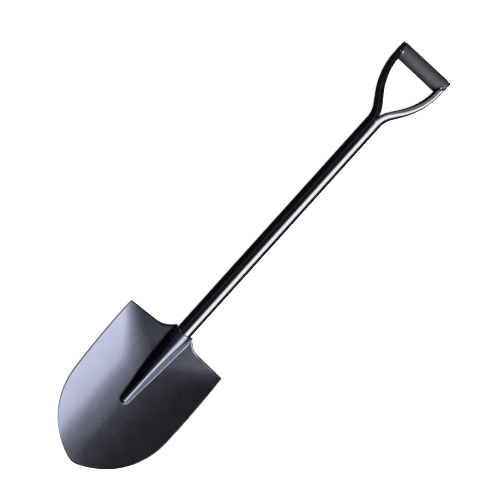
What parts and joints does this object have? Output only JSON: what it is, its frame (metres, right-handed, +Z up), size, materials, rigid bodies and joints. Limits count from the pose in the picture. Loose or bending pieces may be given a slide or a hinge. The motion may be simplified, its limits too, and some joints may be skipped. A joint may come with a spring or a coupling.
{
  "type": "round point shovel",
  "caption": "All-steel round point digging shovel with a pressed dished blade, a straight tube handle and a Y-shaped end holding a turning hand grip.",
  "frame": {"origin": "middle of the bounding box's bottom, on the floor that the shovel lies on, face up", "axes": "+X from the blade's point to the hand grip, +Y sideways, +Z up, out of the blade's front face"},
  "size_m": [1, 0.232, 0.0576],
  "materials": {
    "blade_steel": "satin black paint",
    "tube_steel": "gloss black paint",
    "weld_metal": "black paint over weld",
    "grip_plastic": "matt moulded plastic",
    "core_steel": "bare drawn tube",
    "rod_steel": "black painted rivet"
  },
  "bodies": {
    "shovel": {"blade": "blade_steel", "handle_tube": "tube_steel", "socket_welds": "weld_metal", "grip_core": "core_steel", "grip_rod": "rod_steel"},
    "grip_sleeve": {"hand_grip": "grip_plastic"}
  },
  "joints": [
    {"name": "grip_spin", "type": "hinge", "parent": "shovel", "child": "grip_sleeve", "pos_m": [0.483, 0, 0.01962], "axis": [0, 1, 0], "continuous": true}
  ]
}
